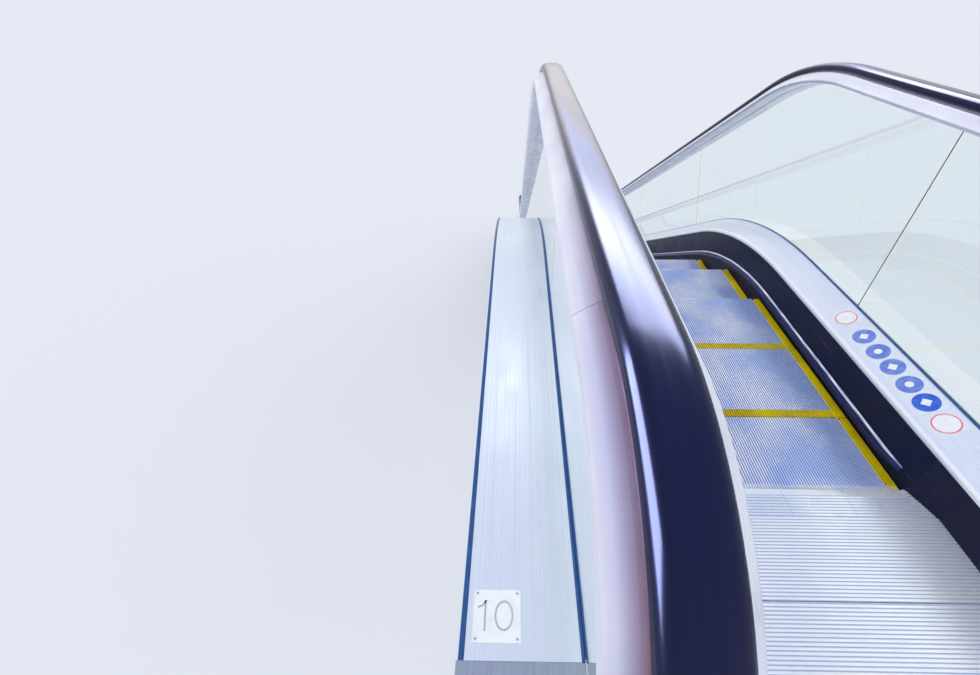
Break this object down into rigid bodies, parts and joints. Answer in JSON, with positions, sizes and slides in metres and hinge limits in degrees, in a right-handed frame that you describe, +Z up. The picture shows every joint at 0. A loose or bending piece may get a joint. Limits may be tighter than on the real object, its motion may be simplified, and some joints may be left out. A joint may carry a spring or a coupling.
{
  "type": "escalator",
  "caption": "Escalator with glass balustrades, dark handrails, cleated steps with curved risers, combs, ribbed floor plates and a clad lattice truss.",
  "frame": {"origin": "middle of the upper support angle's bearing face", "axes": "+X to the right of someone who stands on the upper floor and looks down the escalator, +Y down its run, +Z up"},
  "size_m": [1.64, 14.2973, 6.728],
  "materials": {
    "truss_steel": "grey primer",
    "track_steel": "rolled",
    "cladding_steel": "brushed stainless sheet",
    "step_aluminium": "die cast, worn bright on the cleats",
    "insert_yellow": "satin",
    "comb_aluminium": "die cast, polished by feet",
    "floor_aluminium": "ribbed extrusion",
    "skirt_black": "black satin",
    "brush_nylon": "dark holder and bristles",
    "front_steel": "brushed",
    "deck_steel": "brushed along the run",
    "clamp_dark": "dark seal",
    "balustrade_glass": "clear toughened glass",
    "profile_aluminium": "satin anodised",
    "handrail_rubber": "glossy, near black navy",
    "inlet_plastic": "moulded",
    "plate_white": "engraved plate"
  },
  "bodies": {
    "root": {"truss_left": "truss_steel", "truss_right": "truss_steel", "truss_cross_beams": "truss_steel", "landing_frames": "truss_steel", "track_brackets": "truss_steel", "step_tracks": "track_steel", "upper_support_angle": "truss_steel", "lower_support_angle": "truss_steel", "soffit_panels": "cladding_steel", "left_cladding": "cladding_steel", "right_cladding": "cladding_steel", "steps_1": "step_aluminium", "steps_2": "step_aluminium", "steps_3": "step_aluminium", "steps_4": "step_aluminium", "steps_5": "step_aluminium", "step_edge_inserts": "insert_yellow", "upper_comb": "comb_aluminium", "lower_comb": "comb_aluminium", "upper_floor_plates": "floor_aluminium", "lower_floor_plates": "floor_aluminium", "left_skirt": "skirt_black", "right_skirt": "skirt_black", "left_skirt_brush": "brush_nylon", "right_skirt_brush": "brush_nylon", "upper_newel_skirts": "skirt_black", "lower_newel_skirts": "skirt_black", "upper_newel_fronts": "front_steel", "lower_newel_fronts": "front_steel", "left_inner_deck": "deck_steel", "right_inner_deck": "deck_steel", "centre_cover": "deck_steel", "right_outer_deck": "deck_steel", "left_glass_clamp": "clamp_dark", "right_glass_clamp": "clamp_dark", "clamp_brackets": "truss_steel", "left_glass": "balustrade_glass", "right_glass": "balustrade_glass", "left_handrail_profile": "profile_aluminium", "right_handrail_profile": "profile_aluminium", "left_handrail": "handrail_rubber", "right_handrail": "handrail_rubber", "handrail_inlets": "inlet_plastic", "number_plate": "plate_white"}
  },
  "joints": []
}
